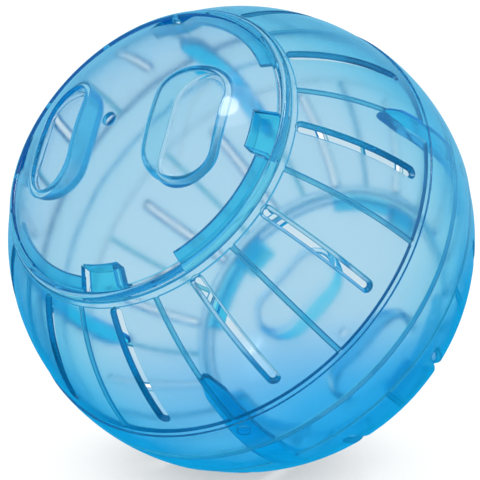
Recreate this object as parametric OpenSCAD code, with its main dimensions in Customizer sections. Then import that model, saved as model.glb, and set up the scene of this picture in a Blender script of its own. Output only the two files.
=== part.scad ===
/* [Ball] */
// Outside diameter over the rolling band
ball_d = 190; // [180:1:205]
// Thickness of the moulded wall
wall_t = 2; // [1.6:0.1:2.4]
// Angle of the lid axis above the horizontal, as the ball lies
axis_rise = 37.2; // [0:0.1:60]

/* [Rolling band] */
// Width of the band round the middle, both halves together
band_w = 36.8; // [30:0.2:40]
// How far the band stands out of the wall
band_step = 0.6; // [0.4:0.1:1]
// Thickness of the wall inside the band
band_t = 4.4; // [3.8:0.1:5]
// Depth of the small bevel that each half has along the seam
seam_bevel = 0.4; // [0.2:0.1:0.6]

/* [Snap straps across the seam] */
// Width of a strap where it crosses the seam
strap_w = 10.8; // [8:0.2:12]
// Reach of a strap to each side of the seam
strap_reach = 38; // [30:1:40]
// Thickness of the tongue half of a strap
tongue_t = 2; // [1.6:0.1:2.4]
// Diameter of the snap button on a tongue
button_d = 5; // [3:0.5:6]

/* [Doorway] */
// Diameter of each round doorway
mouth_d = 118; // [114:1:122]
// Height of the rounded lip above the wall
lip_h = 1.3; // [0.8:0.1:1.6]
// Radius of the rounded lip
lip_round = 1.7; // [1.4:0.1:2]
// Thickness of a seat ledge
ledge_t = 1.5; // [1.2:0.1:1.8]
// How far a seat ledge reaches into the doorway
ledge_w = 5.2; // [4:0.1:6]
// Length of a seat ledge round the doorway, in degrees
ledge_angle = 48; // [40:1:50]

/* [Lid] */
// Running gap between a lid and its doorway
lid_gap = 0.3; // [0.25:0.05:0.5]
// Diameter of the hole in the middle of a lid
hole_d = 5.2; // [4:0.1:7]
// Length of a locking tab round the lid, in degrees
tab_angle = 17; // [14:0.5:18]
// How far a locking tab reaches in from the edge of the lid
tab_w = 6.7; // [6.4:0.1:8]
// Thickness of a locking tab
tab_t = 1.7; // [1.4:0.1:2]
// Angle that locks the back lid, in degrees from free
lock_turn = 16.5; // [0:0.5:16.5]

/* [Finger recesses] */
// Width of a recess, across the grip
recess_w = 23; // [20:0.5:25]
// Length of a recess, along the grip
recess_l = 45; // [38:0.5:48]
// Depth of a recess at the grip side
recess_depth = 11; // [8:0.5:13]
// Width of the grip left between the two recesses
grip_w = 35.6; // [30:0.2:40]

/* [Air slots and ribs] */
// Number of air slots, and of ribs, in each half
slot_count = 12; // [8:4:12]
// Width of an air slot at the outside
slot_w = 5.1; // [4:0.1:6]
// Width of the slit at the bottom of an air slot
slit_w = 2; // [1.4:0.1:2.4]
// Width of an inside rib
rib_w = 1.6; // [1:0.1:2.2]
// Height of an inside rib
rib_h = 1; // [0.6:0.1:1.4]

/* [Hidden] */
$fn = 144;

SHELL_COLOR = [0.45, 0.76, 0.92];
LID_COLOR = [0.55, 0.82, 0.95];

// Spheres that share the ball's centre
band_r = ball_d / 2;
wall_r = band_r - band_step;
inner_r = wall_r - wall_t;
band_inner_r = band_r - band_t;
ledge_outer_r = inner_r - lid_gap;
ledge_inner_r = ledge_outer_r - ledge_t;
tab_outer_r = ledge_inner_r - lid_gap;
tab_inner_r = tab_outer_r - tab_t;
reach = 2 * band_r;
// How far joined solids run into each other, and how far a cut runs past a surface
fuse = 0.4;
cut_over = 1;

// Radii measured from the lid axis
mouth_r = mouth_d / 2;
lid_r = mouth_r - lid_gap;
ledge_r = mouth_r - ledge_w;
tab_edge_r = lid_r - lid_gap;
tab_wall_r = lid_r - tab_w;
tab_wall_t = 1.5;
collar_w = 3.5;
slot_clear = 5;
lip_center_r = mouth_r + lip_round;
lip_center_z = sqrt(pow(wall_r + lip_h - lip_round, 2) - pow(lip_center_r, 2));

// Angles down from the middle of the lid to the ends of the slots and ribs
slot_start = asin((mouth_r + slot_clear) / wall_r);
slot_end = 73.5;
rib_end = 79;
slot_round = 1.5;
slot_pitch = 360 / slot_count;
// How much a slot's half width grows for each millimetre outward through the wall
slot_flare = (slot_w - slit_w) / 2 / wall_t;

// Angles round the lid axis
rib_phase = 1.5;
slot_phase = rib_phase + slot_pitch / 2;
strap_phase = 31.5;
seat_count = 4;
seat_pitch = 360 / seat_count;
ledge_phase = 68.4;
lid_phase = 12.5;
stop_angle = 1.5;
// The back half is the front half turned over about this line in the seam
turn_over = -13.5;

// Heights above the seam
band_h = band_w / 2;
snap_gap = 0.2;
tongue_outer_r = band_inner_r - snap_gap;
tongue_inner_r = tongue_outer_r - tongue_t;
strap_root = 2;
strap_tip_w = 3;
strap_shoulder_w = 0.78 * strap_w;
strap_shoulder_z = 0.79 * strap_reach;
own_straps = [0, 1];
met_straps = [2, 3];
button_h = 1;
button_angle = 7;
grip_recess_x = grip_w / 2 + recess_w / 2;
recess_wall = 1.8;
recess_floor_z = sqrt(pow(wall_r, 2) - pow(grip_w / 2, 2)) - recess_depth;

// The wall between two spheres about the centre
module ball_wall(inner, outer) {
  difference() {
    sphere(r = outer);
    sphere(r = inner);
  }
}

// A part of a ring round the lid axis, centred on angle at
module ring_part(inner, outer, low, high, at, span) {
  rotate([0, 0, at - span / 2])
    rotate_extrude(angle = span)
      translate([inner, low])
        square([outer - inner, high - low]);
}

// A bar along a meridian, from one angle below the pole to another, with half widths low and high
module meridian_bar(at, from, to, r_low, r_high, half_low, half_high) {
  rotate([0, 0, at])
    rotate([90, 0, 0]) {
      rotate([0, 0, 90 - to])
        rotate_extrude(angle = to - from)
          polygon([
            [r_low, -half_low], [r_high, -half_high],
            [r_high, half_high], [r_low, half_low]
          ]);
      for (end = [from, to])
        rotate([0, 0, 90 - end])
          rotate([0, 90, 0])
            translate([0, 0, r_low])
              cylinder(r1 = half_low, r2 = half_high, h = r_high - r_low);
    }
}

// Half of a strap between two spheres, from just over the seam to its pointed end
module half_strap(at, way, inner, outer) {
  intersection() {
    ball_wall(inner, outer);
    rotate([0, 0, at])
      rotate([90, 0, 90])
        linear_extrude(reach)
          polygon([
            [-strap_w / 2, -way * strap_root], [strap_w / 2, -way * strap_root],
            [strap_w / 2, 0],
            [strap_shoulder_w / 2, way * strap_shoulder_z],
            [strap_tip_w / 2, way * strap_reach], [-strap_tip_w / 2, way * strap_reach],
            [-strap_shoulder_w / 2, way * strap_shoulder_z],
            [-strap_w / 2, 0]
          ]);
  }
}

// The snap button on a tongue below the seam, or its dimple when grown
module snap_button(at, grow) {
  rotate([0, button_angle, at])
    rotate([0, 90, 0])
      translate([0, 0, tongue_outer_r - fuse])
        cylinder(d = button_d + 2 * grow, h = fuse + button_h + grow);
}

// The two straps of this half reach over the seam as tongues
module tongues() {
  for (k = own_straps) {
    at = strap_phase + k * seat_pitch;
    half_strap(at, -1, tongue_inner_r, tongue_outer_r);
    snap_button(at, 0);
  }
}

module half_wall() {
  intersection() {
    union() {
      ball_wall(inner_r, wall_r);
      intersection() {
        ball_wall(band_inner_r, band_r);
        translate([0, 0, -cut_over])
          cylinder(r = reach, h = band_h + cut_over);
      }
      intersection() {
        ball_wall(ledge_inner_r, wall_r);
        cylinder(r = mouth_r + collar_w, h = reach);
      }
      rotate_extrude()
        translate([lip_center_r, lip_center_z])
          circle(r = lip_round);
      for (k = [0 : slot_count - 1])
        meridian_bar(
          rib_phase + k * slot_pitch, slot_start, rib_end,
          inner_r - rib_h, inner_r + fuse, rib_w / 2, rib_w / 2
        );
      for (k = own_straps)
        half_strap(strap_phase + k * seat_pitch, 1, tongue_inner_r, inner_r + fuse);
    }
    cylinder(r = reach, h = reach);
  }
}

module air_slots() {
  for (k = [0 : slot_count - 1])
    meridian_bar(
      slot_phase + k * slot_pitch, slot_start + slot_round, slot_end - slot_round,
      inner_r - fuse, wall_r + fuse,
      slit_w / 2 - fuse * slot_flare, slot_w / 2 + fuse * slot_flare
    );
}

module seam_bevel_cut() {
  rotate_extrude()
    polygon([
      [band_r - seam_bevel, 0], [band_r + seam_bevel, 0],
      [band_r + seam_bevel, 2 * seam_bevel]
    ]);
}

module seat_ledges() {
  for (k = [0 : seat_count - 1])
    intersection() {
      ball_wall(ledge_inner_r, ledge_outer_r);
      ring_part(
        ledge_r, mouth_r + fuse, 0, reach,
        ledge_phase + k * seat_pitch, ledge_angle
      );
    }
}

// One half of the ball, standing on its seam with its doorway up
module half_shell() {
  difference() {
    half_wall();
    cylinder(r = mouth_r, h = reach);
    air_slots();
    seam_bevel_cut();
    for (k = met_straps)
      rotate([180, 0, 0])
        snap_button(-strap_phase - k * seat_pitch, snap_gap);
  }
  seat_ledges();
  tongues();
}

// The stadium outline of a finger recess, grown by a margin
module recess_shape(grow, low, high) {
  half_run = recess_l / 2 - recess_w / 2;
  round_r = recess_w / 2 + grow;
  translate([grip_recess_x, 0, low]) {
    for (side = [-1, 1])
      translate([0, side * half_run, 0])
        cylinder(r = round_r, h = high - low);
    translate([-round_r, -half_run, 0])
      cube([2 * round_r, 2 * half_run, high - low]);
  }
}

module both_recesses(grow, low, high) {
  for (turn = [0, 180])
    rotate([0, 0, turn])
      recess_shape(grow, low, high);
}

// A locking tab and its stop under the edge of the lid, before its window is cut
module tab_block(at) {
  intersection() {
    ball_wall(tab_inner_r, inner_r + fuse);
    ring_part(tab_wall_r - tab_wall_t, tab_edge_r, 0, reach, at, tab_angle);
  }
}

// The window over a locking tab, open at the edge of the lid and closed by the stop
module tab_window(at) {
  difference() {
    ring_part(
      tab_wall_r, mouth_r + cut_over, 0, reach,
      at - stop_angle / 2, tab_angle - stop_angle
    );
    sphere(r = tab_outer_r);
  }
}

// A lid on its doorway, lying free with its tabs in the gaps between the ledges
module lid() {
  difference() {
    union() {
      intersection() {
        ball_wall(inner_r, wall_r);
        cylinder(r = lid_r, h = reach);
      }
      intersection() {
        sphere(r = wall_r);
        both_recesses(recess_wall, recess_floor_z - wall_t, reach);
      }
      for (k = [0 : seat_count - 1])
        tab_block(k * seat_pitch);
    }
    both_recesses(0, recess_floor_z, reach);
    cylinder(d = hole_d, h = reach);
    for (k = [0 : seat_count - 1])
      tab_window(k * seat_pitch);
  }
}

// From the lid axis pointing up to the way the ball lies
module as_it_lies() {
  rotate([90 - axis_rise, 0, 0])
    children();
}

// The same moulding at the other side of the seam
module turned_over() {
  rotate([0, 0, turn_over])
    rotate([180, 0, 0])
      rotate([0, 0, -turn_over])
        children();
}

module front_half_shell() {
  color(SHELL_COLOR)
    as_it_lies()
      half_shell();
}

module back_half_shell() {
  color(SHELL_COLOR)
    as_it_lies()
      turned_over()
        half_shell();
}

module front_lid() {
  color(LID_COLOR)
    as_it_lies()
      rotate([0, 0, lid_phase])
        lid();
}

module back_lid() {
  color(LID_COLOR)
    as_it_lies()
      turned_over()
        rotate([0, 0, lid_phase - lock_turn])
          lid();
}

front_half_shell();
back_half_shell();
front_lid();
back_lid();
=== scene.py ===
# %% [markdown]
# # A clear blue hamster ball
# A ball like this is four injection mouldings of tinted clear polystyrene: two half shells that snap together along a
# flat seam, and a round lid in the doorway of each half. All of them are thin walls, so light crosses eight or more
# surfaces on its way through the ball. The lesson is about that: closed walls of a real thickness, rounded edges, and
# smooth corner normals, so that the path tracer can bend the light as the real wall does.

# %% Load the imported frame
from math import atan2, cos, degrees, dist, exp, pi, radians, sin, sqrt

import bmesh
import bpy
import numpy as np
from mathutils import Matrix, Vector


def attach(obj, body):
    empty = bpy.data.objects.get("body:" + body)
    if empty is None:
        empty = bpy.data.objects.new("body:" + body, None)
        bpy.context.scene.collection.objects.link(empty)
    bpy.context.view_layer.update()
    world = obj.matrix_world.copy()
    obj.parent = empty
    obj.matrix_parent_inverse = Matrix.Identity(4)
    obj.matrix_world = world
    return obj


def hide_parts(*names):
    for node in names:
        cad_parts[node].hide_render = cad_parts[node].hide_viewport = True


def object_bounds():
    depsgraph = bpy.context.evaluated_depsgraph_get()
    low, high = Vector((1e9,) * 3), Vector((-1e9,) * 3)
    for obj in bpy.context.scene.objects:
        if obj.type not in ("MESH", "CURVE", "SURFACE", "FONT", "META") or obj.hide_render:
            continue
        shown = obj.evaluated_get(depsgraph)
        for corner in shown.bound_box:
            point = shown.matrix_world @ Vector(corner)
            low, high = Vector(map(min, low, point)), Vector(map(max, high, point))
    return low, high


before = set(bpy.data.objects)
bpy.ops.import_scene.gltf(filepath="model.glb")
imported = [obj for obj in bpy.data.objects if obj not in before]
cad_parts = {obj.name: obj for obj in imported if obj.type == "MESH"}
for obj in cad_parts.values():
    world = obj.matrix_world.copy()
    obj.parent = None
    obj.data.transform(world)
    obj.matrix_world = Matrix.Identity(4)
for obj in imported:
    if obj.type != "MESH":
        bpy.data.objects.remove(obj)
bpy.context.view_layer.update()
scene = bpy.context.scene

# %% [markdown]
# ## The camera
# The ball is a sphere, so its outline in the picture gives the lens and the distance at once: a sphere of 94.4 mm shows
# as a circle of 233.6 pixels in a frame of 480. A longer lens further away would flatten the doorway's ellipse, and a
# short one would swell the near lid. The small shift puts the ball where it lies in the frame.

# %% Camera


def add_object(name, data):
    made = bpy.data.objects.new(name, data)
    scene.collection.objects.link(made)
    return made


VIEW_AZIMUTH = 39.7
VIEW_ELEVATION = 12.0
VIEW_DISTANCE = 0.5928
LENS_MM = 108.6
SENSOR_MM = 36.0
SHIFT = (-0.0031, -0.0015)

azimuth, elevation = radians(VIEW_AZIMUTH), radians(VIEW_ELEVATION)
towards_camera = Vector((sin(azimuth) * cos(elevation), -cos(azimuth) * cos(elevation), sin(elevation)))
camera = add_object("camera", bpy.data.cameras.new("camera"))
camera.data.lens, camera.data.sensor_width = LENS_MM, SENSOR_MM
camera.data.shift_x, camera.data.shift_y = SHIFT
camera.location = towards_camera * VIEW_DISTANCE
camera.rotation_mode = "QUATERNION"
camera.rotation_quaternion = (-towards_camera).to_track_quat("-Z", "Y")
scene.camera = camera
print("camera at", [round(x, 3) for x in camera.location])

# %% [markdown]
# ## Helpers for nodes
# Materials and geometry trees are both graphs, so one small function serves them all: it adds a node, sets its
# settings, and gives each input a plain value or a link. Those after it use it for the kinds that come up most.

# %% Helpers for nodes


def add_node(tree, kind, inputs=None, **settings):
    node = tree.nodes.new(kind)
    for name, value in settings.items():
        setattr(node, name, value)
    for key, value in (inputs or {}).items():
        if isinstance(value, bpy.types.NodeSocket):
            tree.links.new(value, node.inputs[key])
        else:
            node.inputs[key].default_value = value
    return node


def empty_tree(owner):
    """The cleared node tree of a material or world, and the sockets of its Light Path."""
    owner.use_nodes = True
    owner.node_tree.nodes.clear()
    return owner.node_tree, add_node(owner.node_tree, "ShaderNodeLightPath").outputs


def srgb(code):
    """A hex colour as it looks on a screen, turned to the linear values that light adds up in."""
    parts = [int(code[i:i + 2], 16) / 255 for i in (1, 3, 5)]
    return (*[c / 12.92 if c <= 0.04045 else ((c + 0.055) / 1.055) ** 2.4 for c in parts], 1.0)


def calculate(tree, operation, *values):
    """One step of arithmetic on numbers or sockets. Returns the socket of its result."""
    return add_node(tree, "ShaderNodeMath", dict(enumerate(values)), operation=operation).outputs[0]


def add_range(tree, value, given, wanted=(0.0, 1.0)):
    """Maps one range of numbers to another. Returns the socket of its result."""
    return add_node(tree, "ShaderNodeMapRange", {
        "Value": value, "From Min": given[0], "From Max": given[1],
        "To Min": wanted[0], "To Max": wanted[1]}).outputs["Result"]


def add_mix(tree, share, first, second):
    """Shows the first shader where the share is 0, and the second where it is 1."""
    return add_node(tree, "ShaderNodeMixShader", {0: share, 1: first.outputs[0], 2: second.outputs[0]})


def add_ramp(tree, value, stops):
    """A Color Ramp. Each stop is a position and a linear colour or a plain number. Returns its colour socket."""
    ramp = add_node(tree, "ShaderNodeValToRGB", {"Fac": value})
    elements = ramp.color_ramp.elements
    for position, _ in stops[1:-1]:
        elements.new(position)
    for element, (position, shown) in zip(elements, stops):
        color = (shown,) * 3 if isinstance(shown, float) else shown[:3]
        element.position, element.color = position, (*color, 1.0)
    return ramp.outputs["Color"]


# %% [markdown]
# ## The plastic
# The ball is clear tinted polystyrene, moulded against polished steel. A thin wall looks pale, and a wall seen along
# its length deep blue, because a Volume Absorption inside takes red away fastest. Light that runs inside a wall comes
# out at thick parts and rounded edges, so straps, ledges and rims glow. A path tracer finds few of those long paths in
# a short render, so that glow is painted on the surfaces along with the tint: each face carries a level of tint and
# painted light, low on a plain wall, higher on a thick part and highest on an edge, where it paints a teal line of
# glow and shade. A wall is also painted deeper as it turns away from the eye, for the long way it is then crossed,
# but at the very outline only its skin is crossed, and it is pale again. The melt freezes in soft waves, and fine
# flow marks and scuffs add a little haze, which blurs the far wall.

# %% Clear tinted polystyrene
POLYSTYRENE_IOR = 1.59
# What one metre of the plastic takes away of red, green and blue
TAKEN_PER_METRE = (30.0, 4.0, 1.0)
ABSORPTION_DENSITY = 30.0
# The level of tint and painted light on a plain wall, on the ball's own outside, on a recess wall, on a part that
# lies over a wall, on a strap, on the matt faces where the halves meet, and on an edge, where it paints a teal line of
# glow and shade
PLAIN, OUTSIDE, UPRIGHT, PART, THICK, MATT, EDGE = 0.0, 0.005, 0.04, 0.14, 0.42, 0.6, 1.0
PLAIN_COLOR = srgb("#E7F5FD")
# The colour of an edge: a painted teal line of glow and shade
EDGE_COLOR = srgb("#45AECB")
# How fast the tint and painted light take away red, green and blue
TINT_AND_LIGHT_STRENGTH = (16.0, 1.35, 0.05)
TINT_AND_LIGHT_STOPS = (0.0, 0.05, 0.1, 0.2, 0.35, 0.5, 1.0)
# How much deeper a recess wall is painted as it turns away from the eye, from 0, facing it, to 1, at the outline, and
# what share of that each other face gains, by its own level: the ball's outside some, and a part that lies over a wall
# none
GRAZING_PAINTED_DEEPENING = ((0.2, 0.0), (0.45, 0.24), (0.65, 0.67), (0.8, 0.36), (0.95, 0.0))
GRAZING_SHARE = ((PLAIN, 0.0), (OUTSIDE, 0.2), (UPRIGHT, 1.0), (PART - 0.01, 1.0), (PART, 0.0))
# How much of the light that isn't mirrored goes through, by the level of tint and painted light. The rest is
# scattered, as in a cloudy plastic.
CLEARNESS = ((PLAIN, 1.0), (PART, 0.92), (MATT - 0.05, 0.92), (MATT, 0.5), (MATT + 0.05, 0.92), (EDGE, 0.92))
# Soft waves about 22 mm long, and flow marks and scuffs about 4 mm long. The haze lies between two roughnesses.
WAVES_PER_METRE = 45.0
WAVE_HEIGHT = 0.0006
WAVE_STRENGTH = 0.35
SCUFFS_PER_METRE = 260.0
SCUFF_LEVELS = (0.35, 0.75)
HAZE = (0.07, 0.1)
# A lamp's direct light isn't bent on its way to a surface behind the wall. It loses about as much as the wall takes.
SHADOW_PANE = srgb("#E6EAEC")


def tint_and_light_color(dye):
    """What a surface lets through: less of each colour as its level of tint and painted light grows. The last stop is
    the painted teal glow and shade of an edge.
    """
    if dye == TINT_AND_LIGHT_STOPS[-1]:
        return EDGE_COLOR
    return [plain * exp(-strength * dye) for plain, strength in zip(PLAIN_COLOR, TINT_AND_LIGHT_STRENGTH)]


def clear_polystyrene():
    material = bpy.data.materials.new("clear_blue_polystyrene_moulded")
    tree, path = empty_tree(material)
    place = add_node(tree, "ShaderNodeTexCoord")
    wave = add_node(tree, "ShaderNodeTexNoise", {
        "Vector": place.outputs["Object"], "Scale": WAVES_PER_METRE, "Detail": 1.0, "Roughness": 0.4})
    scuff = add_node(tree, "ShaderNodeTexNoise", {
        "Vector": place.outputs["Object"], "Scale": SCUFFS_PER_METRE, "Detail": 3.0, "Roughness": 0.6})
    haze = add_range(tree, scuff.outputs["Fac"], SCUFF_LEVELS, HAZE)
    soft_waves = add_node(tree, "ShaderNodeBump", {
        "Height": wave.outputs["Fac"], "Strength": WAVE_STRENGTH, "Distance": WAVE_HEIGHT})
    # Each face's level of tint and painted light: thick parts tinted deeper, edges painted with a teal glow and shade
    dye = add_node(tree, "ShaderNodeAttribute", attribute_name="dye").outputs["Fac"]
    # The facing angle paints a wall deeper as it turns away from the eye
    angle = add_node(tree, "ShaderNodeLayerWeight", {"Blend": 0.5})
    grazing = add_ramp(tree, angle.outputs["Facing"], GRAZING_PAINTED_DEEPENING)
    gained = calculate(tree, "MULTIPLY", grazing, add_ramp(tree, dye, GRAZING_SHARE))
    whole_tint_and_light = calculate(tree, "MAXIMUM", dye, gained)
    clear = add_ramp(tree, dye, CLEARNESS)
    surface_color_with_painted_light = add_ramp(tree, whole_tint_and_light, [(position, tint_and_light_color(position)) for position in TINT_AND_LIGHT_STOPS])
    plastic = add_node(tree, "ShaderNodeBsdfPrincipled", {
        "Base Color": surface_color_with_painted_light, "Roughness": haze, "IOR": POLYSTYRENE_IOR,
        "Transmission Weight": clear, "Normal": soft_waves.outputs["Normal"]})
    pane = add_node(tree, "ShaderNodeBsdfTransparent", {"Color": SHADOW_PANE})
    surface = add_mix(tree, path["Is Shadow Ray"], plastic, pane)
    depth = add_node(tree, "ShaderNodeVolumeAbsorption", {
        "Color": (*[1 - taken / ABSORPTION_DENSITY for taken in TAKEN_PER_METRE], 1.0),
        "Density": ABSORPTION_DENSITY})
    add_node(tree, "ShaderNodeOutputMaterial", {"Surface": surface.outputs[0], "Volume": depth.outputs[0]})
    return material


CLEAR_BLUE = clear_polystyrene()
print("2 mm of wall lets through", [round(exp(-0.002 * t), 2) for t in TAKEN_PER_METRE])

# %% [markdown]
# ## Sizes
# The pieces are drawn in millimetres round the lid axis, which points up while they are made, as on a lathe. The two
# spheres of the wall, the thicker rolling band and the collar round the doorway all share the ball's centre.

# %% Sizes in millimetres and degrees
BAND_R = 95.0
WALL_R = 94.4
INNER_R = 92.4
BAND_INNER_R = 90.6
BAND_H = 18.4
SEAM_GAP = 0.06
MOUTH_R = 59.0
COLLAR_R = 62.5
LIP_CENTER = (60.7, 71.77)
LIP_ROUND = 1.7
LID_R = 58.7
HOLE_R = 2.6
AXIS_RISE = 37.2
TURN_OVER = -13.5
STEPS_ROUND = 240

# %% [markdown]
# ## A profile of arcs
# The cross-section of a moulded wall is a loop of arcs: long ones on the spheres, and small ones that round each
# corner. On clear plastic the small round is what draws the thin dark line, because it bends light away. The helper
# walks such arcs and returns points with the exact outward direction at each, so a wide smooth face isn't smeared by
# its narrow neighbour, as averaged normals would do.

# %% Profile helpers
# An arc of less than this radius is a small round. The degrees of one step of a small round, and of a long arc.
SMALL_RADIUS = 5
SMALL_STEP = 18
LONG_STEP = 1.6
SAME_POINT = 0.002
# A flat face gets its own level of tint and painted light from a point that lies this far past the corner before it
PAST_CORNER = 0.1


def radial(point):
    """The angle of a point of the cross-section, in degrees above the seam."""
    return degrees(atan2(point[1], point[0]))


def on_radius(distance, r=None, z=None):
    """The point of the cross-section at that distance from the ball's centre, and at that r or z."""
    if r is None:
        return (sqrt(distance ** 2 - z ** 2), z)
    return (r, sqrt(distance ** 2 - r ** 2))


def wall_arc(distance, start, stop, dye):
    """A long arc round the ball's centre between two points. On the inside of a wall its distance is negative."""
    inside = 180 if distance < 0 else 0
    return ((0.0, 0.0), distance, radial(start) + inside, radial(stop) + inside, dye)


def inner_start(corner, radius, dye):
    """The round that leads from a side facing the lid axis into a wall's inside."""
    return (corner, radius, 180, radial(corner) + 180, dye)


def inner_end(corner, radius, dye, side=360):
    """The round that leads from a wall's inside into a side that faces away from the axis, or at another angle."""
    return (corner, radius, radial(corner) + 180, side, dye)


def arcs_to_points(arcs):
    """Each arc is a centre, a radius, the first and last angle of its outward direction, and a level of tint and
    painted light. A hollow arc has a negative radius. The level belongs to the face that follows each point.
    Returns the points, their outward directions and their levels."""
    points, slopes, tint_and_light_levels = [], [], []
    for (cr, cz), radius, first, last, dye in arcs:
        sweep = abs(last - first)
        if abs(radius) < SMALL_RADIUS:
            steps = max(4, round(sweep / SMALL_STEP))
        else:
            steps = max(1, round(sweep / LONG_STEP))
        for share in np.linspace(0, 1, steps + 1) if sweep else [0]:
            angle = radians(first + (last - first) * share)
            slope = (cos(angle), sin(angle))
            point = (cr + radius * slope[0], cz + radius * slope[1])
            if points and dist(points[-1], point) < SAME_POINT:
                tint_and_light_levels[-1] = dye
                continue
            points.append(point)
            slopes.append(slope)
            tint_and_light_levels.append(dye)
    return points, slopes, tint_and_light_levels


# %% [markdown]
# ## Turning a profile
# Geometry Nodes can turn a profile as a lathe does: a grid gets one row for each point of the profile and one column
# for each step round, and every grid point takes its place from the profile and is turned by its column's angle. The
# outward direction is turned too and kept for the shading, and each row of faces gets its level of tint and painted
# light. The sweep is an input, so the same tree makes full rings and short sectors.

# %% Geometry Nodes: turn a profile round the lid axis
MERGE_WITHIN = 0.001


def new_tree(name, inputs):
    """An empty geometry tree with these named inputs, each a name and a kind, and the sockets that give them."""
    tree = bpy.data.node_groups.new(name, "GeometryNodeTree")
    tree.interface.new_socket(name="Geometry", in_out="INPUT", socket_type="NodeSocketGeometry")
    for socket, kind in inputs:
        tree.interface.new_socket(name=socket, in_out="INPUT", socket_type="NodeSocket" + kind)
    tree.interface.new_socket(name="Geometry", in_out="OUTPUT", socket_type="NodeSocketGeometry")
    return tree, add_node(tree, "NodeGroupInput").outputs


def carried(tree, name, data_type):
    """The socket of an attribute that the mesh carries under this name."""
    return add_node(tree, "GeometryNodeInputNamedAttribute", {"Name": name}, data_type=data_type).outputs[0]


def keep(tree, geometry, name, value, data_type, domain="POINT"):
    """Keeps a value on the mesh under this name. Returns the socket of the mesh."""
    return add_node(tree, "GeometryNodeStoreNamedAttribute", {
        "Geometry": geometry, "Name": name, "Value": value}, data_type=data_type, domain=domain).outputs[0]


def turning_tree():
    tree, given = new_tree("turn_profile", (("Profile points", "Int"), ("Steps round", "Int"), ("First angle", "Float"),
                                            ("Sweep", "Float"), ("Material", "Material")))

    def whole(operation, a, b):
        return add_node(tree, "FunctionNodeIntegerMath", {0: a, 1: b}, operation=operation).outputs[0]

    rows = whole("ADD", given["Profile points"], 1)
    columns = whole("ADD", given["Steps round"], 1)
    grid = add_node(tree, "GeometryNodeMeshGrid", {"Vertices X": rows, "Vertices Y": columns})
    index = add_node(tree, "GeometryNodeInputIndex").outputs[0]
    row = whole("MODULO", whole("DIVIDE_FLOOR", index, columns), given["Profile points"])
    share = calculate(tree, "DIVIDE", whole("MODULO", index, columns), given["Steps round"])
    angle = calculate(tree, "ADD", given["First angle"], calculate(tree, "MULTIPLY", share, given["Sweep"]))
    spun = []
    for source in (add_node(tree, "GeometryNodeInputPosition").outputs[0], carried(tree, "soft", "FLOAT_VECTOR")):
        sample = add_node(tree, "GeometryNodeSampleIndex", {
            "Geometry": given["Geometry"], "Value": source, "Index": row}, data_type="FLOAT_VECTOR")
        spun.append(add_node(tree, "ShaderNodeVectorRotate", {
            "Vector": sample.outputs[0], "Angle": angle}, rotation_type="Z_AXIS").outputs[0])
    placed = add_node(tree, "GeometryNodeSetPosition", {"Geometry": grid.outputs["Mesh"], "Position": spun[0]})
    shaded = keep(tree, placed.outputs[0], "soft", spun[1], "FLOAT_VECTOR")
    face_row = whole("MODULO", whole("DIVIDE_FLOOR", index, given["Steps round"]), given["Profile points"])
    row_tint_and_light = add_node(tree, "GeometryNodeSampleIndex", {
        "Geometry": given["Geometry"], "Index": face_row, "Value": carried(tree, "dye", "FLOAT")}, data_type="FLOAT")
    dyed = keep(tree, shaded, "dye", row_tint_and_light.outputs[0], "FLOAT", "FACE")
    outward = add_node(tree, "GeometryNodeFlipFaces", {"Mesh": dyed})
    closed = add_node(tree, "GeometryNodeMergeByDistance", {"Geometry": outward.outputs[0], "Distance": MERGE_WITHIN})
    real = add_node(tree, "GeometryNodeRealizeInstances", {0: closed.outputs[0]})
    coated = add_node(tree, "GeometryNodeSetMaterial", {0: real.outputs[0], "Material": given["Material"]})
    add_node(tree, "NodeGroupOutput", {0: coated.outputs[0]})
    return tree


def run_tree(mesh, tree, **inputs):
    """Runs a geometry tree on a mesh and returns the plain mesh that comes out."""
    worker = add_object("worker", mesh)
    modifier = worker.modifiers.new("tree", "NODES")
    modifier.node_group = tree
    for item in tree.interface.items_tree:
        key = item.name.replace(" ", "_").lower()
        if item.in_out == "INPUT" and key in inputs:
            modifier[item.identifier] = inputs[key]
    made = bpy.data.meshes.new_from_object(worker.evaluated_get(bpy.context.evaluated_depsgraph_get()))
    bpy.data.objects.remove(worker)
    return made


TURN_PROFILE = turning_tree()
print("tree", TURN_PROFILE.name, "with", len(TURN_PROFILE.nodes), "nodes")

# %% [markdown]
# ## Carrying smooth normals through the cuts
# The pieces are joined and cut with booleans, as a toolmaker cuts a mould. A boolean leaves long thin faces, and
# normals averaged over those would streak. So each solid writes its smooth outward direction on its own face corners
# first, and the boolean carries it along. A cutter leaves its inside behind, so it writes the opposite direction. At
# the end the attribute becomes the custom normals.

# %% Shading that survives a boolean
# A smooth direction is used only where it lies close to the face's own, as the cosine between them: at first, where
# a flat end must stay flat, and at the end, where a thin face can lean far from the smooth surface
ON_ITS_OWN_FACE = 0.8
AFTER_THE_CUTS = 0.2


def face_array(collection, name, width):
    values = np.empty(len(collection) * width, np.float32)
    collection.foreach_get(name, values)
    return values.reshape(-1, width)


def store(mesh, name, domain, values):
    """Keeps a number or a direction for each point, face or corner of a mesh."""
    values = np.asarray(values, np.float32)
    kind, key = ("FLOAT_VECTOR", "vector") if values.ndim == 2 else ("FLOAT", "value")
    mesh.attributes.new(name, kind, domain).data.foreach_set(key, values.ravel())


def unit_rows(vectors):
    return vectors / np.linalg.norm(vectors, axis=1, keepdims=True)


def corner_faces(mesh):
    """The index of each corner's face."""
    totals = np.empty(len(mesh.polygons), np.int32)
    mesh.polygons.foreach_get("loop_total", totals)
    return np.repeat(np.arange(len(totals)), totals)


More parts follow.
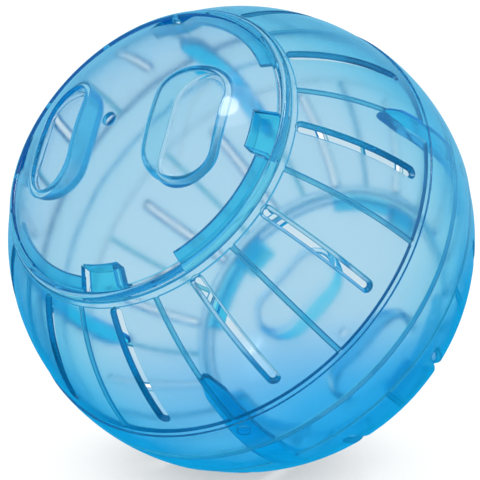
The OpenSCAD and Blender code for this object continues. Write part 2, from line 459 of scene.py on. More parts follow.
def note_shading(mesh, cuts=False):
    """Moves the smooth direction from points, and the tint and painted light from faces, to face corners. Flat ends
    keep their own.
    """
    face_of = corner_faces(mesh)
    flat = face_array(mesh.polygons, "normal", 3)[face_of]
    corner_point = np.empty(len(mesh.loops), np.int32)
    mesh.loops.foreach_get("vertex_index", corner_point)
    soft = face_array(mesh.attributes["soft"].data, "vector", 3)[corner_point]
    dye = face_array(mesh.attributes["dye"].data, "value", 1)[face_of]
    for name in ("soft", "dye"):
        mesh.attributes.remove(mesh.attributes[name])
    soft = np.where((soft * flat).sum(1, keepdims=True) < ON_ITS_OWN_FACE, flat, soft) * (-1 if cuts else 1)
    store(mesh, "soft", "CORNER", soft)
    store(mesh, "dye", "CORNER", dye.ravel())
    return mesh


def show_shading(mesh):
    """Turns the carried directions into custom normals."""
    soft = face_array(mesh.attributes["soft"].data, "vector", 3)
    flat = face_array(mesh.polygons, "normal", 3)[corner_faces(mesh)]
    soft /= np.maximum(np.linalg.norm(soft, axis=1, keepdims=True), 1e-6)
    soft = np.where((soft * flat).sum(1, keepdims=True) < AFTER_THE_CUTS, flat, soft)
    mesh.attributes.remove(mesh.attributes["soft"])
    mesh.polygons.foreach_set("use_smooth", [True] * len(mesh.polygons))
    mesh.normals_split_custom_set(soft.tolist())
    return mesh


def combine(base, other, operation):
    """Joins, cuts or intersects two closed meshes and returns the new mesh."""
    pair = [add_object("base", base), add_object("other", other)]
    modifier = pair[0].modifiers.new("combine", "BOOLEAN")
    modifier.operation, modifier.solver, modifier.object = operation, "MANIFOLD", pair[1]
    made = bpy.data.meshes.new_from_object(pair[0].evaluated_get(bpy.context.evaluated_depsgraph_get()))
    for each in pair:
        bpy.data.objects.remove(each)
    return made


def report(name, mesh):
    """Prints a solid's size, and how many of its edges aren't shared by exactly two faces."""
    work = bmesh.new()
    work.from_mesh(mesh)
    odd = sum(len(edge.link_faces) != 2 for edge in work.edges)
    print(f"{name}: {len(mesh.polygons)} faces, {work.calc_volume(signed=True):.0f} mm3, {odd} odd edges")
    work.free()


def turned(arcs, first=0.0, sweep=360.0, steps=STEPS_ROUND, cuts=False):
    """A profile of arcs turned round the lid axis, closed with flat ends where it isn't a full ring."""
    points, slopes, tint_and_light_levels = arcs_to_points(arcs)
    profile = bpy.data.meshes.new("profile")
    profile.from_pydata([(r, 0, z) for r, z in points], [], [])
    store(profile, "soft", "POINT", [(sr, 0.0, sz) for sr, sz in slopes])
    store(profile, "dye", "POINT", tint_and_light_levels)
    mesh = run_tree(profile, TURN_PROFILE, profile_points=len(points), steps_round=steps,
                    first_angle=radians(first), sweep=radians(sweep), material=CLEAR_BLUE)
    if sweep < 360:
        work = bmesh.new()
        work.from_mesh(mesh)
        filled = bmesh.ops.holes_fill(work, edges=[e for e in work.edges if e.is_boundary])["faces"]
        for face in filled:
            face[work.faces.layers.float["dye"]] = PART
        work.to_mesh(mesh)
        work.free()
    return note_shading(mesh, cuts)


# %% [markdown]
# ## The wall of one half
# One half is a ring: the rolling band at the seam, the thin wall, the rounded lip round the doorway, and the thicker
# collar behind it. The seam face stands a few hundredths of a millimetre back, because two clear pieces that touch
# exactly leave the path tracer no air between them, and the air in the seam is what draws its thin line. That face is
# left matt by the mould, as mating faces often are, so it mirrors less of the room into the band.

# %% Half shell wall
FOOT_ROUND = 0.5
SEAM_ROUND = 0.15
SEAM_INNER_ROUND = 0.25
STEP_ROUND = 0.35
STEP_HOLLOW = 0.25
CORNER = 0.4


def half_wall():
    foot = Vector(LIP_CENTER)
    # the hollow round at the foot of the lip touches the wall's sphere and the lip's circle
    far, near, apart = WALL_R + FOOT_ROUND, LIP_ROUND + FOOT_ROUND, foot.length
    along = (far ** 2 - near ** 2 + apart ** 2) / (2 * apart)
    aside = sqrt(far ** 2 - along ** 2)
    unit = foot / apart
    foot_center = tuple(unit * along + Vector((unit.y, -unit.x)) * aside)
    foot_angle = degrees(atan2(foot_center[1] - foot.y, foot_center[0] - foot.x))
    seam_out = on_radius(BAND_R - SEAM_ROUND, z=SEAM_GAP + SEAM_ROUND)
    step_out = on_radius(BAND_R - STEP_ROUND, z=BAND_H - STEP_ROUND)
    step_in = on_radius(WALL_R + STEP_HOLLOW, z=BAND_H + STEP_HOLLOW)
    mouth_in = on_radius(BAND_INNER_R + CORNER, r=MOUTH_R + CORNER)
    collar_out = on_radius(BAND_INNER_R + CORNER, r=COLLAR_R - CORNER)
    collar_in = on_radius(INNER_R - CORNER, r=COLLAR_R + CORNER)
    shelf_in = on_radius(INNER_R - CORNER, z=BAND_H + CORNER)
    shelf_out = on_radius(BAND_INNER_R + CORNER, z=BAND_H - CORNER)
    seam_in = on_radius(BAND_INNER_R + SEAM_INNER_ROUND, z=SEAM_GAP + SEAM_INNER_ROUND)
    # Rounds at the EDGE level are painted a teal line of glow and shade
    return [
        (seam_out, SEAM_ROUND, -90, radial(seam_out), PLAIN),
        wall_arc(BAND_R, seam_out, step_out, OUTSIDE),
        (step_out, STEP_ROUND, radial(step_out), 90, PLAIN),
        (step_in, -STEP_HOLLOW, 90, radial(step_in), PLAIN),
        wall_arc(WALL_R, step_in, foot_center, OUTSIDE),
        (foot_center, -FOOT_ROUND, radial(foot_center) + 180, foot_angle + 180, EDGE),
        (LIP_CENTER, LIP_ROUND, foot_angle, 180, PLAIN),
        inner_start(mouth_in, CORNER, PART),
        wall_arc(-BAND_INNER_R, mouth_in, collar_out, PLAIN),
        inner_end(collar_out, CORNER, PART),
        (collar_in, -CORNER, 360, radial(collar_in) + 180, PART),
        wall_arc(-INNER_R, collar_in, shelf_in, PLAIN),
        inner_end(shelf_in, -CORNER, EDGE, 90),
        (shelf_out, CORNER, 90, radial(shelf_out) + 180, EDGE),
        wall_arc(-BAND_INNER_R, shelf_out, seam_in, PLAIN),
        inner_end(seam_in, SEAM_INNER_ROUND, PART, 270),
        ((seam_in[0] + PAST_CORNER, SEAM_GAP), 0, 270, 270, MATT),
    ]


half = turned(half_wall())
report("wall of one half", half)

# %% [markdown]
# ## Closed solids from stacked outlines
# Slots, ribs, straps and finger recesses aren't turned shapes, but each is a stack of similar outlines with their
# outward directions: a stadium that grows through the wall, or a rounded rectangle that slides along a strap. Quads
# join neighbouring outlines, and a ladder of quads closes both ends, because it can follow a curved end.

# %% Stacked outlines
FLIP_X, FLIP_Y = np.array([-1, 1, 1]), np.array([1, -1, 1])


def stacked(rings, slopes, tint_and_light_levels, cuts=False, weights=1.0):
    """Rings are closed outlines of equal length, whose point k mirrors point -k. Each has the level of tint and painted
    light of the faces above. weights scales that level along an outline."""
    around = len(rings[0])
    faces = [(i * around + j, i * around + (j + 1) % around, (i + 1) * around + (j + 1) % around, (i + 1) * around + j)
             for i in range(len(rings) - 1) for j in range(around)]
    for start, way in ((0, -1), ((len(rings) - 1) * around, 1)):
        for j in range(around // 2):
            corners = (j, j + 1, (around - j - 1) % around, (around - j) % around)
            faces.append([start + k for k in dict.fromkeys(corners)][::way])
    shares = np.concatenate([(np.array(tint_and_light_levels[:-1])[:, None] * weights * np.ones(around)).ravel(),
                             np.repeat([tint_and_light_levels[0], tint_and_light_levels[-1]], around // 2)])
    mesh = bpy.data.meshes.new("stacked")
    mesh.from_pydata(np.concatenate(rings).tolist(), [], faces)
    store(mesh, "soft", "POINT", np.concatenate(slopes))
    store(mesh, "dye", "FACE", shares)
    work = bmesh.new()
    work.from_mesh(mesh)
    if work.calc_volume(signed=True) < 0:
        bmesh.ops.reverse_faces(work, faces=work.faces)
        work.to_mesh(mesh)
    work.free()
    mesh.update()
    return note_shading(mesh, cuts)


def mirrored(half_ring, flip):
    """Completes an outline from the half between its two tips."""
    return np.concatenate([half_ring, half_ring[-2:0:-1] * flip])


# %% [markdown]
# ## Copies round the axis
# Twelve slots, twelve ribs, four ledges and four tabs each repeat round the lid axis. Geometry Nodes puts one copy on
# each of a few points, turned by its own angle. Realize Instances makes them real, but it doesn't turn a stored
# direction, so the tree turns the shading attribute by the same angle.

# %% Geometry Nodes: a ring of copies


def ring_tree():
    tree, given = new_tree("ring_of_copies", (("Copies", "Int"), ("First angle", "Float"), ("Pitch", "Float"),
                                              ("Material", "Material")))
    index = add_node(tree, "GeometryNodeInputIndex").outputs[0]
    angle = calculate(tree, "MULTIPLY_ADD", index, given["Pitch"], given["First angle"])
    points = add_node(tree, "GeometryNodePoints", {"Count": given["Copies"]})
    copies = add_node(tree, "GeometryNodeInstanceOnPoints", {
        "Points": keep(tree, points.outputs[0], "turn", angle, "FLOAT"), "Instance": given["Geometry"],
        "Rotation": add_node(tree, "ShaderNodeCombineXYZ", {"Z": angle}).outputs[0]})
    real = add_node(tree, "GeometryNodeRealizeInstances", {0: copies.outputs[0]})
    turned_soft = add_node(tree, "ShaderNodeVectorRotate", {
        "Vector": carried(tree, "soft", "FLOAT_VECTOR"), "Angle": carried(tree, "turn", "FLOAT")},
        rotation_type="Z_AXIS")
    shaded = keep(tree, real.outputs[0], "soft", turned_soft.outputs[0], "FLOAT_VECTOR", "CORNER")
    coated = add_node(tree, "GeometryNodeSetMaterial", {0: shaded, "Material": given["Material"]})
    add_node(tree, "NodeGroupOutput", {0: coated.outputs[0]})
    return tree


RING_OF_COPIES = ring_tree()


def with_ring(base, mesh, copies, first, pitch, operation="UNION"):
    """Joins a ring of copies to a solid, or cuts it out of it."""
    ring = run_tree(mesh, RING_OF_COPIES, copies=copies, first_angle=radians(first),
                    pitch=radians(pitch), material=CLEAR_BLUE)
    ring.attributes.remove(ring.attributes["turn"])
    return combine(base, ring, operation)


# %% [markdown]
# ## Ribs and air slots
# A rib stiffens the wall, and beside each rib a long slot lets air in. The slot is wide outside and narrow inside, so
# that its core pin pulls out of the mould and toes stay in. Both lie along a meridian of the ball, so one function
# makes a bar whose width and height follow a profile of arcs, as the wall does. The rib meets the wall in a small
# hollow round, and the slot has a soft rim, and these rounds, with the teal glow and shade painted on them, are the
# dark and bright lines of the photograph.

# %% Ribs and slots
BAR_STEPS = 26
CAP_STEPS = 8
BARS = 12
BAR_PITCH = 360 / BARS
RIB_PHASE = 1.5
RIB_FROM = 42.7
RIB_TO = 79.0
SLOT_FROM = 44.2
SLOT_TO = 72.0


def meridian_ring(half_width, distance, tilt, first, last, point):
    """A long outline on a sphere, from one angle below the pole to another. point stretches the end near the pole."""
    quarter = np.linspace(0, pi / 2, CAP_STEPS + 1)
    tips = [(first, -point * half_width * cos(q), half_width * sin(q),
             -cos(q), point * sin(q)) for q in quarter]
    sides = [(first + (last - first) * k / BAR_STEPS, 0, half_width, 0, 1) for k in range(1, BAR_STEPS)]
    ends = [(last, half_width * cos(q), half_width * sin(q), cos(q), sin(q))
            for q in quarter[::-1]]
    at, run, across, run_slope, across_slope = np.array(tips + sides + ends).T
    angle = np.radians(at) + run / distance
    flat = np.sqrt(distance ** 2 - across ** 2)
    points = np.stack([flat * np.sin(angle), across, flat * np.cos(angle)], 1)
    length = np.hypot(run_slope, across_slope)
    level = cos(radians(tilt)) / length
    slopes = np.stack([level * run_slope * np.cos(angle), level * across_slope,
                       -level * run_slope * np.sin(angle)], 1) + sin(radians(tilt)) * points / distance
    return mirrored(points, FLIP_Y), mirrored(slopes, FLIP_Y)


def meridian_bar(arcs, first, last, point=1.0, cuts=False):
    """A bar along a meridian, whose arcs give half width and distance from the centre, from its lowest level up."""
    levels, slopes, tint_and_light_levels = arcs_to_points(arcs)
    tilts = [degrees(atan2(s[1], s[0])) for s in slopes]
    made = [meridian_ring(half, high, tilt, first, last, point) for (half, high), tilt in zip(levels, tilts)]
    return stacked([m[0] for m in made], [m[1] for m in made], tint_and_light_levels, cuts)


rib = meridian_bar([
    ((0.45, 91.75), 0.35, -90, 0, EDGE),
    ((1.3, 91.92), -0.5, 0, -90, EDGE),
    ((1.3, 92.9), 0, 0, 0, PLAIN),
], RIB_FROM, RIB_TO, point=2.4)
half = with_ring(half, rib, BARS, RIB_PHASE, BAR_PITCH)

# The slot's sides lean outwards, so their outward direction points down into the wall by this angle
SLOT_LEAN = -37.8
slot_cutter = meridian_bar([
    ((1.28, 91.9), 0, 0, 0, EDGE),
    ((1.306, 92.55), -0.15, 80, SLOT_LEAN, EDGE),
    ((1.187, 92.642), 0, SLOT_LEAN, SLOT_LEAN, EDGE),
    ((1.43, 92.955), 0, SLOT_LEAN, SLOT_LEAN, PLAIN),
    ((2.16, 93.897), 0, SLOT_LEAN, SLOT_LEAN, EDGE),
    ((2.746, 94.0), -0.4, SLOT_LEAN, -80, EDGE),
    ((2.677, 94.9), 0, 0, 0, PLAIN),
], SLOT_FROM, SLOT_TO, cuts=True)
half = with_ring(half, slot_cutter, BARS, RIB_PHASE + BAR_PITCH / 2, BAR_PITCH, "DIFFERENCE")
report("with ribs and slots", half)

# %% [markdown]
# ## Snap straps
# Four straps hold the halves together. Two grow from each half: thick above the seam, where they are one with the wall,
# and a thin springy tongue below it, which lies inside the other half and snaps a round button into a dimple. A strap
# narrows to its tip along the ball's curve, so it is a stack of horizontal rounded rectangles.

# %% Straps
STRAP_PHASE = 31.5
STRAP_PITCH = 90
STRAP_HALF_WIDTHS = ((0, 5.4), (30, 4.2), (38, 1.5))
STRAP_REACH = 38.0
STRAP_TIP_ROUND = 1.2
STRAP_IN = 88.4
TONGUE_OUT = 90.4
STRAP_OUT = 92.8
STRAP_EDGE = 0.45
SEAM_STEP = (0.12, 0.2)
STRAP_ROW = 1.5
TIP_FROM = 36.0
TIP_ROWS = 9
# The share of the half width that a corner's round may take, the degrees of its steps, the square of the share of its
# width that a strap keeps at its very tip, and half the height over which its direction along itself is measured
EDGE_SHARE = 0.8
EDGE_STEP = 15
TIP_KEEPS = 0.003
ALONG = 0.02
BUTTON_R, BUTTON_RISE = 2.5, 1.0
DIMPLE_R, DIMPLE_RISE = 2.7, 1.2
STUD_ROOT = 0.6
STUD_EDGE = 0.4
SNAP_TILT = 7


def strap_half_width(z):
    reach, widths = zip(*STRAP_HALF_WIDTHS)
    past = (abs(z) - STRAP_REACH + STRAP_TIP_ROUND) / STRAP_TIP_ROUND
    return np.interp(abs(z), reach, widths) * (sqrt(max(1 - past ** 2, TIP_KEEPS)) if past > 0 else 1)


def strap_section(z, outer):
    """Half of a rounded rectangle at one height: across, distance from the centre, and the outward direction."""
    half_width = strap_half_width(z)
    edge = min(STRAP_EDGE, EDGE_SHARE * half_width)
    flat = half_width - edge
    inner = [(flat * k / 4, STRAP_IN, -90) for k in range(4)]
    low, high = ([(flat + edge * cos(radians(t)), distance + edge * sin(radians(t)), t)
                  for t in range(first, first + 91, EDGE_STEP)]
                 for distance, first in ((STRAP_IN + edge, -90), (outer - edge, 0)))
    return np.array(inner + low + high + [(flat * k / 4, outer, 90) for k in (3, 2, 1, 0)])


def strap_ring(z, outer):
    across, distance, _ = strap_section(z, outer).T
    return np.stack([np.sqrt(distance ** 2 - across ** 2 - z ** 2), across, np.full_like(across, z)], 1)


def strap():
    tip = STRAP_REACH - STRAP_TIP_ROUND * (1 - np.cos(np.linspace(0, pi / 2, TIP_ROWS)))
    rows = np.arange(STRAP_ROW, TIP_FROM + STRAP_ROW / 2, STRAP_ROW)
    below = np.concatenate([-tip, -rows[::-1], [SEAM_STEP[0]]])
    above = np.concatenate([[SEAM_STEP[1]], rows, tip[::-1]])
    heights = [(z, TONGUE_OUT) for z in below] + [(z, STRAP_OUT) for z in above]
    rings, slopes = [], []
    for z, outer in heights:
        across, distance, tilt = strap_section(z, outer).T
        ring = strap_ring(z, outer)
        lean, rise = np.cos(np.radians(tilt)), np.sin(np.radians(tilt))
        zero = np.zeros_like(across)
        sideways = np.stack([-across / ring[:, 0], zero + 1, zero], 1)
        outward = np.stack([distance / ring[:, 0], zero, zero], 1)
        low, high = max(z - ALONG, -STRAP_REACH), min(z + ALONG, STRAP_REACH)
        along = strap_ring(high, outer) - strap_ring(low, outer)
        slope = np.cross(rise[:, None] * sideways - lean[:, None] * outward, along)
        slope *= np.sign((slope * (lean[:, None] * sideways + rise[:, None] * outward)).sum(1, keepdims=True))
        rings.append(mirrored(ring, FLIP_Y))
        slopes.append(mirrored(unit_rows(slope), FLIP_Y))
    # Only the side that faces the ball's centre is tinted, so that light is tinted once on its way through
    around = len(rings[0])
    from_inside = np.minimum(np.arange(around), around - 1 - np.arange(around))
    weights = np.where(from_inside < around // 4, 1.0, 0.0)
    return stacked(rings, slopes, [THICK] * len(rings), weights=weights)


def spin(turn, axis):
    return Matrix.Rotation(radians(turn), 4, axis)


def moved(mesh, matrix):
    """Moves a mesh, and turns the directions that it carries."""
    turn = np.array(matrix.to_3x3().normalized())
    soft = face_array(mesh.attributes["soft"].data, "vector", 3) @ turn.T
    mesh.transform(matrix)
    mesh.attributes["soft"].data.foreach_set("vector", soft.astype(np.float32).ravel())
    return mesh


def stud(radius, rise, tilt, cuts=False):
    """A short round stud on a tongue that points away from the ball's centre, tilted up from the seam."""
    low, high = TONGUE_OUT - STUD_ROOT, TONGUE_OUT + rise
    made = turned([
        ((0, low), 0, -90, -90, PART), ((radius, low), 0, 0, 0, PART),
        ((radius - STUD_EDGE, high - STUD_EDGE), STUD_EDGE, 0, 90, PART), ((0, high), 0, 90, 90, PART),
    ], steps=40, cuts=cuts)
    return moved(made, spin(90 - tilt, "Y"))


half = with_ring(half, strap(), 2, STRAP_PHASE, STRAP_PITCH)
button = stud(BUTTON_R, BUTTON_RISE, -SNAP_TILT)
half = with_ring(half, button, 2, STRAP_PHASE, STRAP_PITCH)
dimple = stud(DIMPLE_R, DIMPLE_RISE, SNAP_TILT, cuts=True)
half = with_ring(half, dimple, 2, STRAP_PHASE + 2 * STRAP_PITCH, STRAP_PITCH, "DIFFERENCE")
report("with straps", half)

# %% [markdown]
# ## Seat ledges
# Inside the doorway four ledges stick out of the collar. The lid's tabs drop through the gaps between them and turn in
# behind them. They are short turned sectors that start inside the collar, so that the join leaves one closed wall.

# %% Ledges
LEDGE_R = 53.8
LEDGE_IN = 90.65
LEDGE_OUT = 92.05
LEDGE_ROOT_R = 61.0
LEDGE_ANGLE = 48.0
LEDGE_PHASE = 68.4
LEDGE_EDGE = 0.35

ledge_top = on_radius(LEDGE_OUT - LEDGE_EDGE, r=LEDGE_R + LEDGE_EDGE)
ledge_foot = on_radius(LEDGE_IN + LEDGE_EDGE, r=LEDGE_R + LEDGE_EDGE)
ledge = turned([
    wall_arc(LEDGE_OUT, on_radius(LEDGE_OUT, r=LEDGE_ROOT_R), ledge_top, PART),
    (ledge_top, LEDGE_EDGE, radial(ledge_top), 180, PART),
    inner_start(ledge_foot, LEDGE_EDGE, PART),
    wall_arc(-LEDGE_IN, ledge_foot, on_radius(LEDGE_IN, r=LEDGE_ROOT_R), PART),
], first=-LEDGE_ANGLE / 2, sweep=LEDGE_ANGLE, steps=36)
half = with_ring(half, ledge, 4, LEDGE_PHASE, 90)
report("finished half", half)

# %% [markdown]
# ## The lid
# The lid is a thin dome with the wall's own curve, so its surface runs on from the ball's. It starts as a turned
# profile with a small hole at the pole. Everything else on it is added to that or cut from it.

# %% Lid dome
LID_OUTER_ROUND = 0.5
HOLE_INNER_ROUND = 0.3


def lid_dome():
    edge_out = on_radius(WALL_R - LID_OUTER_ROUND, r=LID_R - LID_OUTER_ROUND)
    hole_out = on_radius(WALL_R - CORNER, r=HOLE_R + CORNER)
    hole_in = on_radius(INNER_R + HOLE_INNER_ROUND, r=HOLE_R + HOLE_INNER_ROUND)
    edge_in = on_radius(INNER_R + CORNER, r=LID_R - CORNER)
    return [
        (edge_out, LID_OUTER_ROUND, 0, radial(edge_out), PART),
        wall_arc(WALL_R, edge_out, hole_out, PLAIN),
        (hole_out, CORNER, radial(hole_out), 180, PLAIN),
        inner_start(hole_in, HOLE_INNER_ROUND, PLAIN),
        wall_arc(-INNER_R, hole_in, edge_in, PLAIN),
        inner_end(edge_in, CORNER, EDGE),
        ((LID_R, edge_in[1] + PAST_CORNER), 0, 0, 0, PLAIN),
    ]


lid = turned(lid_dome())
report("lid dome", lid)

# %% [markdown]
# ## Finger recesses
# Two long recesses with a grip between them let two fingers turn the lid. Each is a pocket, whose wall hangs below the
# dome as a boss of the same stadium outline. The rounds at the rim and at the boss's foot follow the dome, so their
# outlines are stacked at heights that are measured down from the sphere.

# %% Recess outlines
RECESS_X = 29.3
RECESS_ROUND = 11.5
RECESS_RUN = 11.0
RECESS_FLOOR = 81.71
RECESS_WALL = 1.8
FLOOR_T = 2.0
RIM_EDGE = 0.35
FLOOR_EDGE = 1.5
BOSS_EDGE = 1.6
BOSS_FOOT = 0.6
ROUND_STEPS = 8
TIP_STEPS = 14
RUN_POINTS = 12
# A rim's round stops short of level, because a face that lies in the dome itself can't be cut cleanly
RIM_ENDS_AT = 8
# How far the cutter stands out of the dome, how far the boss's root goes into it, and how far the boss's foot does
CUTTER_RISE = 2.5
BOSS_ROOT = 0.9
BOSS_CLEAR = 0.02
# A face of a bottom round that leans less than this from upright, in radians, has the tint and painted light of the
# wall above it
LEAST_LEAN = 0.3


def stadium_ring(offset, height):
    """The recess outline grown by an offset. height turns x and y into z. Also gives the outward directions."""
    bend = np.radians(np.arange(90, -1, -90 / TIP_STEPS))
    straight = np.linspace(RECESS_RUN, -RECESS_RUN, RUN_POINTS)[1:-1]
    turns = np.concatenate([bend, 0 * straight, -bend[::-1]])
    out = np.stack([np.cos(turns), np.sin(turns), 0 * turns], 1)
    ring = (RECESS_ROUND + offset) * out
    ring[:, 1] += np.concatenate([RECESS_RUN + 0 * bend, straight, 0 * bend - RECESS_RUN])
    ring = mirrored(ring, FLIP_X) + (RECESS_X, 0, 0)
    ring[:, 2] = height(ring[:, 0], ring[:, 1])
    return ring, mirrored(out, FLIP_X)


def on_sphere(distance, drop=0.0):
    return lambda x, y: np.sqrt(distance ** 2 - x ** 2 - y ** 2) - drop


def at_height(z):
    return lambda x, y: np.full_like(x, z)


UP = np.array([0.0, 0.0, 1.0])


def bottom_round(offset, edge, low, wall_tint_and_light):
    """Outlines of the round that leads from a flat face at that height up into an upright wall."""
    made = []
    for u in np.radians(np.linspace(90, 0, ROUND_STEPS + 1)):
        ring, out = stadium_ring(offset - edge * (1 - cos(u)), at_height(low + edge * (1 - sin(u))))
        made.append((ring, cos(u) * out - sin(u) * UP, PLAIN if u > LEAST_LEAN else wall_tint_and_light))
    return made


def top_round(offset, edge, distance, dye, ends_at=0):
    """Outlines of the round that leads from an upright wall out into a sphere at that distance."""
    made = []
    for u in np.radians(np.linspace(90, ends_at, ROUND_STEPS + 1)):
        ring, out = stadium_ring(offset + edge * (1 - sin(u)), on_sphere(distance, edge * (1 - cos(u))))
        made.append((ring, unit_rows(sin(u) * out - cos(u) * ring / distance), dye))
    return made


def recess_cutter():
    made = bottom_round(0, FLOOR_EDGE, RECESS_FLOOR, PLAIN) + top_round(0, RIM_EDGE, WALL_R, EDGE, RIM_ENDS_AT)
    grown = RIM_EDGE * (1 - sin(radians(RIM_ENDS_AT)))
    return stacked(*zip(*made, (*stadium_ring(grown, on_sphere(WALL_R + CUTTER_RISE)), PLAIN)), cuts=True)


def recess_boss():
    made = bottom_round(RECESS_WALL, BOSS_EDGE, RECESS_FLOOR - FLOOR_T, UPRIGHT)
    made += top_round(RECESS_WALL, BOSS_FOOT, INNER_R + BOSS_CLEAR, UPRIGHT)
    return stacked(*zip(*made, (*stadium_ring(RECESS_WALL + BOSS_FOOT, on_sphere(INNER_R + BOSS_ROOT)), PLAIN)))


lid = with_ring(lid, recess_boss(), 2, 0, 180)
lid = with_ring(lid, recess_cutter(), 2, 0, 180, "DIFFERENCE")
report("lid with recesses", lid)

# %% [markdown]
# ## Locking tabs
# Four hooks under the edge of the lid hold it: each is a block with a window over it, open at one end and closed by a
# stop at the other, so a ledge slides in as the lid turns. The window goes right through the dome, which lets the mould
# make the hook without a sliding core. Blocks and windows are turned sectors, with rounded corners.

# %% Tabs
TAB_IN = 88.6
TAB_TOP = 92.8
TAB_R = (50.5, 58.4)
TAB_ANGLE = 17.0
WINDOW_FLOOR = 90.3
WINDOW_R = (52.0, 61.0)
WINDOW_TOP = 96.0
WINDOW_FROM = -8.6
WINDOW_TO = 7.0
TAB_EDGE = 0.4



def tab_arcs(top, low, radii, stop):
    """The top, the inner side, the rounded inner corner and the lower side of a sector."""
    corner = on_radius(low + TAB_EDGE, r=radii[0] + TAB_EDGE)
    return [
        (on_radius(top, r=radii[1]), 0, 0, 0, PART),
        (on_radius(top, r=radii[0]), 0, 180, 180, PART),
        inner_start(corner, TAB_EDGE, EDGE),
        wall_arc(-low, corner, stop, PART),
    ]


tab_outside = on_radius(TAB_IN + TAB_EDGE, r=TAB_R[1] - TAB_EDGE)
tab_block = turned(tab_arcs(TAB_TOP, TAB_IN, TAB_R, tab_outside) + [
    inner_end(tab_outside, TAB_EDGE, EDGE),
], first=-TAB_ANGLE / 2, sweep=TAB_ANGLE, steps=14)
tab_window = turned(tab_arcs(WINDOW_TOP, WINDOW_FLOOR, WINDOW_R, on_radius(WINDOW_FLOOR, r=WINDOW_R[1])),
                    first=WINDOW_FROM, sweep=WINDOW_TO - WINDOW_FROM, steps=14, cuts=True)
lid = with_ring(lid, tab_block, 4, 0, 90)
lid = with_ring(lid, tab_window, 4, 0, 90, "DIFFERENCE")
report("finished lid", lid)

# %% [markdown]
# ## Four mouldings in their places
# The two halves come from one mould, and so do the lids: the back ones are copies, turned over about a line in the
# seam. Each copy is moved to the way the ball lies and scaled from millimetres to metres in its mesh, so the object
# itself stays at the origin.

# %% Place the pieces
as_it_lies = Matrix.Scale(0.001, 4) @ spin(90 - AXIS_RISE, "X")
turned_over = spin(TURN_OVER, "Z") @ spin(180, "X") @ spin(-TURN_OVER, "Z")
LID_PHASE = 12.5
LOCK_TURN = 16.5
PLACES = (
    ("front_half_shell", "front_half_moulding", "shell", half, as_it_lies),
    ("back_half_shell", "back_half_moulding", "shell", half, as_it_lies @ turned_over),
    ("front_lid", "front_lid_moulding", "front_lid", lid, as_it_lies @ spin(LID_PHASE, "Z")),
    ("back_lid", "back_lid_moulding", "back_lid", lid, as_it_lies @ turned_over @ spin(LID_PHASE - LOCK_TURN, "Z")),
)
for node, name, body, mesh, place in PLACES:
    piece_mesh = show_shading(moved(mesh.copy(), place))
    piece_mesh.materials.clear()
    piece_mesh.materials.append(CLEAR_BLUE)
    piece_mesh.polygons.foreach_set("material_index", [0] * len(piece_mesh.polygons))
    piece = add_object(name, piece_mesh)
    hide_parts(node)
    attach(piece, body)
    print(name, len(piece_mesh.polygons), "faces,", sum(len(p.vertices) - 2 for p in piece_mesh.polygons), "triangles")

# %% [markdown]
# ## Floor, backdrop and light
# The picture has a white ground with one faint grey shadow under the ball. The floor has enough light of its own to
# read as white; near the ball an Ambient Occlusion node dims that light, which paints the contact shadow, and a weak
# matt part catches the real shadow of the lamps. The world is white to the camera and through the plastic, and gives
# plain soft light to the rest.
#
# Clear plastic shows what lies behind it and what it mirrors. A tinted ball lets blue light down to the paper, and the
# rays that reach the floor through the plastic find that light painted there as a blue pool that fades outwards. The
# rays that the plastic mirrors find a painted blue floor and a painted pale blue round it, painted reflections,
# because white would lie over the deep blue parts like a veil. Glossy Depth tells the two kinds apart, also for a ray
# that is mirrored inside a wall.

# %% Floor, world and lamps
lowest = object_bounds()[0][2]
FLOOR_HALF = 30.0
# The painted contact shadow: how far away the ball still dims the paper's own light, and that light under it and
# in the open
SHADOW_REACH = 0.16
SHADOW_LEVELS = (0.4, 0.9)
# The middle of the painted blue pool of light, and the distances over which it and the painted reflection of the
# floor fade
PAINTED_BLUE_LIGHT_POOL = (0.036, 0.082, lowest)
POOL_FADES = (0.05, 0.19)
MIRRORED_FADES = (0.2, 0.8)
# The painted reflection colour: the pale blue that mirrored rays find in place of the white world
PAINTED_REFLECTION_BLUE = srgb("#84CCEC")
# The world's strength to the camera, to any other ray, and what a diffuse ray finds less
WORLD_SEEN, WORLD_LIGHT, DIFFUSE_LESS = 1.0, 0.87, 0.27


def was_mirrored(tree, path):
    """1 for a ray that any surface has mirrored on its way, and 0 for one that only went through walls."""
    return calculate(tree, "GREATER_THAN", path["Glossy Depth"], 0.5)


floor_mesh = bpy.data.meshes.new("floor")
floor_mesh.from_pydata([(x * FLOOR_HALF, y * FLOOR_HALF, lowest) for x, y in ((-1, -1), (1, -1), (1, 1), (-1, 1))],
                       [], [(0, 1, 2, 3)])
floor = add_object("floor", floor_mesh)

paper = bpy.data.materials.new("white_studio_paper_matt")
tree, path = empty_tree(paper)
through_ball = path["Is Transmission Ray"]
seen = calculate(tree, "MAXIMUM", path["Is Camera Ray"], through_ball)
seen = calculate(tree, "MAXIMUM", seen, path["Is Glossy Ray"])
matt = add_node(tree, "ShaderNodeBsdfDiffuse", {"Color": srgb("#E6E6E6")})
# A painted contact shadow: Ambient Occlusion near the ball dims the paper's own light
painted_shadow_ao = add_node(tree, "ShaderNodeAmbientOcclusion", {"Distance": SHADOW_REACH}, samples=12)
level = add_range(tree, painted_shadow_ao.outputs["AO"], (0.0, 0.5), SHADOW_LEVELS)
own_light_with_painted_shadow = add_node(tree, "ShaderNodeEmission", {"Color": (1, 1, 1, 1), "Strength": level})
weak = add_node(tree, "ShaderNodeBsdfDiffuse", {"Color": srgb("#8C8C8C")})
shown = add_node(tree, "ShaderNodeAddShader", {0: own_light_with_painted_shadow.outputs[0], 1: weak.outputs[0]})
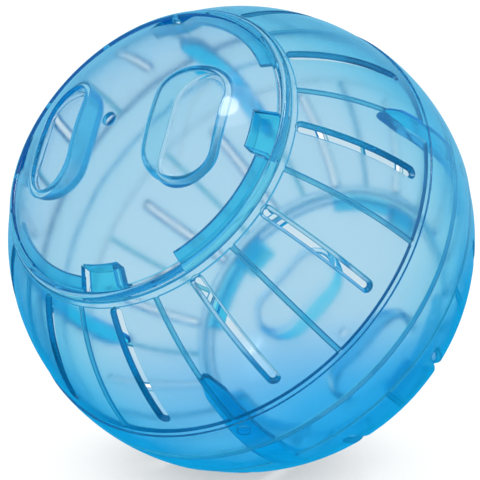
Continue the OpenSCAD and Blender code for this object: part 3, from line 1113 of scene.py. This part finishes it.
# Through the plastic the floor shows a painted pool of the blue light that the ball lets down to it
place = add_node(tree, "ShaderNodeTexCoord")
away = add_node(tree, "ShaderNodeVectorMath", {
    0: place.outputs["Object"], 1: PAINTED_BLUE_LIGHT_POOL}, operation="DISTANCE").outputs["Value"]
painted_light_pool = add_ramp(tree, add_range(tree, away, POOL_FADES), ((0.0, srgb("#5AC2F2")), (1.0, srgb("#F0F1F2"))))
# Painted reflection: mirrored rays find a deep blue floor near the ball that fades to the painted pale blue
painted_floor_reflection = add_ramp(tree, add_range(tree, away, MIRRORED_FADES), ((0.0, srgb("#12ACE6")), (1.0, PAINTED_REFLECTION_BLUE)))
shown = add_mix(tree, through_ball, shown, add_node(tree, "ShaderNodeEmission", {"Color": painted_light_pool}))
shown = add_mix(tree, was_mirrored(tree, path), shown, add_node(tree, "ShaderNodeEmission", {"Color": painted_floor_reflection}))
add_node(tree, "ShaderNodeOutputMaterial", {"Surface": add_mix(tree, seen, matt, shown).outputs[0]})
floor_mesh.materials.append(paper)

world = bpy.data.worlds.new("white_studio")
scene.world = world
tree, path = empty_tree(world)
past_camera = add_range(tree, path["Is Camera Ray"], (0.0, 1.0), (WORLD_LIGHT, WORLD_SEEN))
strength = calculate(tree, "MULTIPLY_ADD", path["Is Diffuse Ray"], -DIFFUSE_LESS, past_camera)
white = add_node(tree, "ShaderNodeBackground", {"Color": (1, 1, 1, 1), "Strength": strength})
# Mirrored rays find a painted pale blue in place of the white: a painted reflection
painted_reflection_sky = add_node(tree, "ShaderNodeBackground", {"Color": PAINTED_REFLECTION_BLUE})
sky = add_mix(tree, was_mirrored(tree, path), white, painted_reflection_sky)
add_node(tree, "ShaderNodeOutputWorld", {"Surface": sky.outputs[0]})


def softbox(name, place, size, watts):
    lamp = bpy.data.lights.new(name, "AREA")
    lamp.shape, lamp.size, lamp.energy = "DISK", size, watts
    holder = add_object(name, lamp)
    holder.location = place
    holder.rotation_euler = (-Vector(place)).to_track_quat("-Z", "Y").to_euler()
    # the plastic's outside mirrors the lamp, but the lamp doesn't show again as streaks through the walls
    holder.visible_transmission = False


# Place and size in metres, and power in watts: a small one for the highlight, and a wide one behind it
softbox("softbox_above", (0.1, -0.3, 1.1), 0.2, 0.7)
softbox("softbox_spread", (0.1, -0.3, 1.15), 0.5, 0.9)
scene.view_settings.view_transform = "Standard"
scene.cycles.max_bounces = 32
scene.cycles.transmission_bounces = 32
scene.cycles.glossy_bounces = 32
scene.cycles.transparent_max_bounces = 24
print("floor at", round(lowest, 4))
